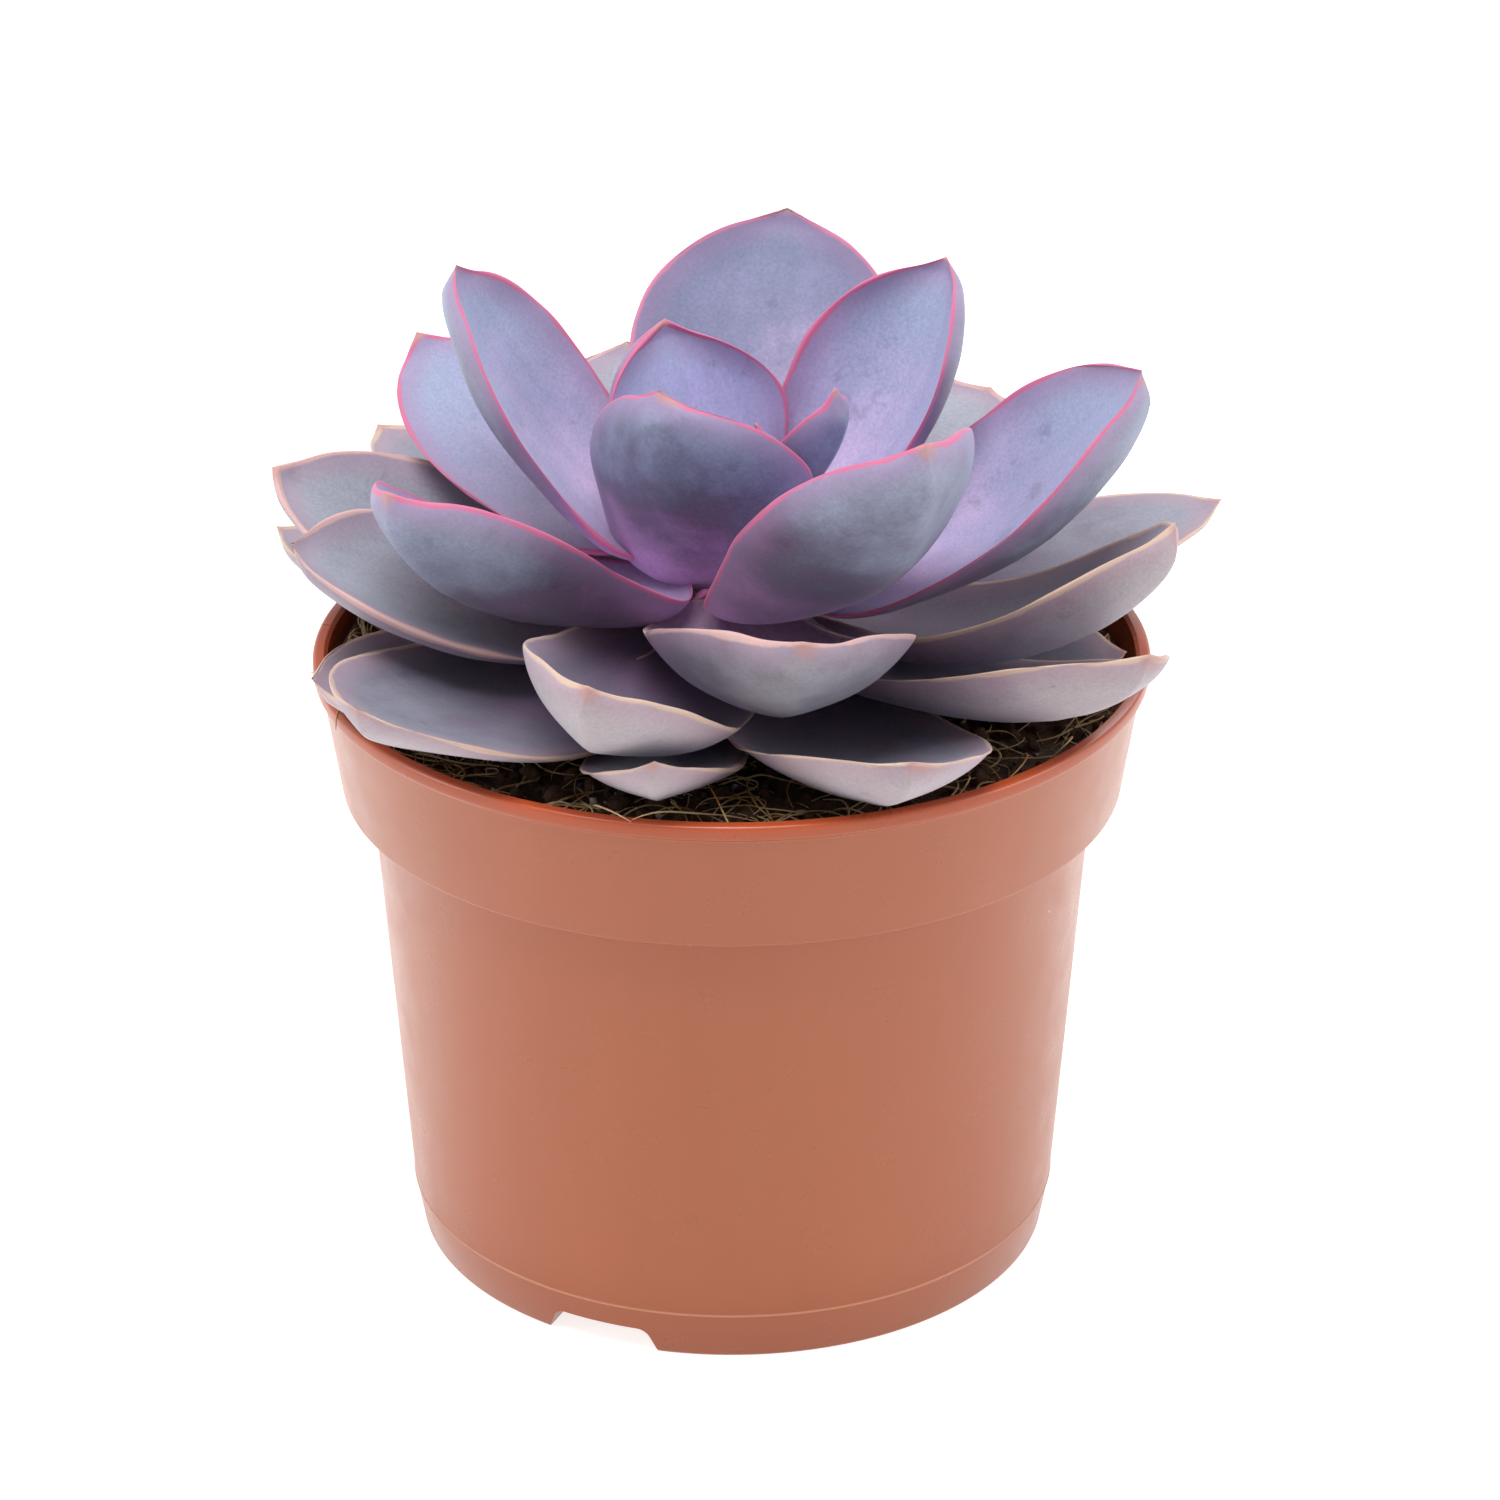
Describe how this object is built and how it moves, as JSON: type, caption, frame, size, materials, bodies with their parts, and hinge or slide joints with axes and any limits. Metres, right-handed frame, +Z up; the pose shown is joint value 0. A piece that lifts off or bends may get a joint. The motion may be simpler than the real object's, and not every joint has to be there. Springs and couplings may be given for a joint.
{
  "type": "potted succulent",
  "caption": "Rosette succulent with broad cupped blue-violet leaves, growing in soil in a round tapered plastic nursery pot with a tall collar and rolled lip.",
  "frame": {"origin": "on the pot's axis, in the plane that the pot stands on, at the middle of the underside of its floor", "axes": "+Z up along the pot's axis, -Y towards the front of the plant, +X to the right"},
  "size_m": [0.1367, 0.1335, 0.1446],
  "materials": {
    "pot_plastic": "terracotta-coloured polypropylene, satin gloss",
    "peat": "crumbly dark peat with coir fibres",
    "stem_bark": "matt succulent stem",
    "inner_leaf": "waxy blue-violet leaf with a pink margin",
    "outer_leaf": "waxy grey-mauve leaf with a pale pink margin"
  },
  "bodies": {
    "root": {"pot": "pot_plastic", "soil": "peat", "stem": "stem_bark", "leaf_bud_right": "inner_leaf", "leaf_bud_left": "inner_leaf", "leaf_heart_right": "inner_leaf", "leaf_heart_back": "inner_leaf", "leaf_heart_front": "inner_leaf", "leaf_inner_right": "inner_leaf", "leaf_crown_right": "inner_leaf", "leaf_crown_left": "inner_leaf", "leaf_crown_back": "inner_leaf", "leaf_crown_back_right": "inner_leaf", "leaf_mid_right_back": "outer_leaf", "leaf_mid_back_left": "outer_leaf", "leaf_mid_left_front": "outer_leaf", "leaf_mid_right": "outer_leaf", "leaf_mid_front": "outer_leaf", "leaf_mid_back_right": "outer_leaf", "leaf_mid_left": "outer_leaf", "leaf_mid_left_back": "outer_leaf", "leaf_mid_back": "outer_leaf", "leaf_low_front_left": "outer_leaf", "leaf_low_right_front": "outer_leaf", "leaf_low_left_front": "outer_leaf", "leaf_low_back_left": "outer_leaf", "leaf_low_front_right": "outer_leaf", "leaf_low_front": "outer_leaf", "leaf_low_left": "outer_leaf", "leaf_low_right": "outer_leaf", "leaf_bottom_back_left": "outer_leaf", "leaf_bottom_back_right": "outer_leaf", "leaf_bottom_left_back": "outer_leaf", "leaf_bottom_back": "outer_leaf"}
  },
  "joints": []
}
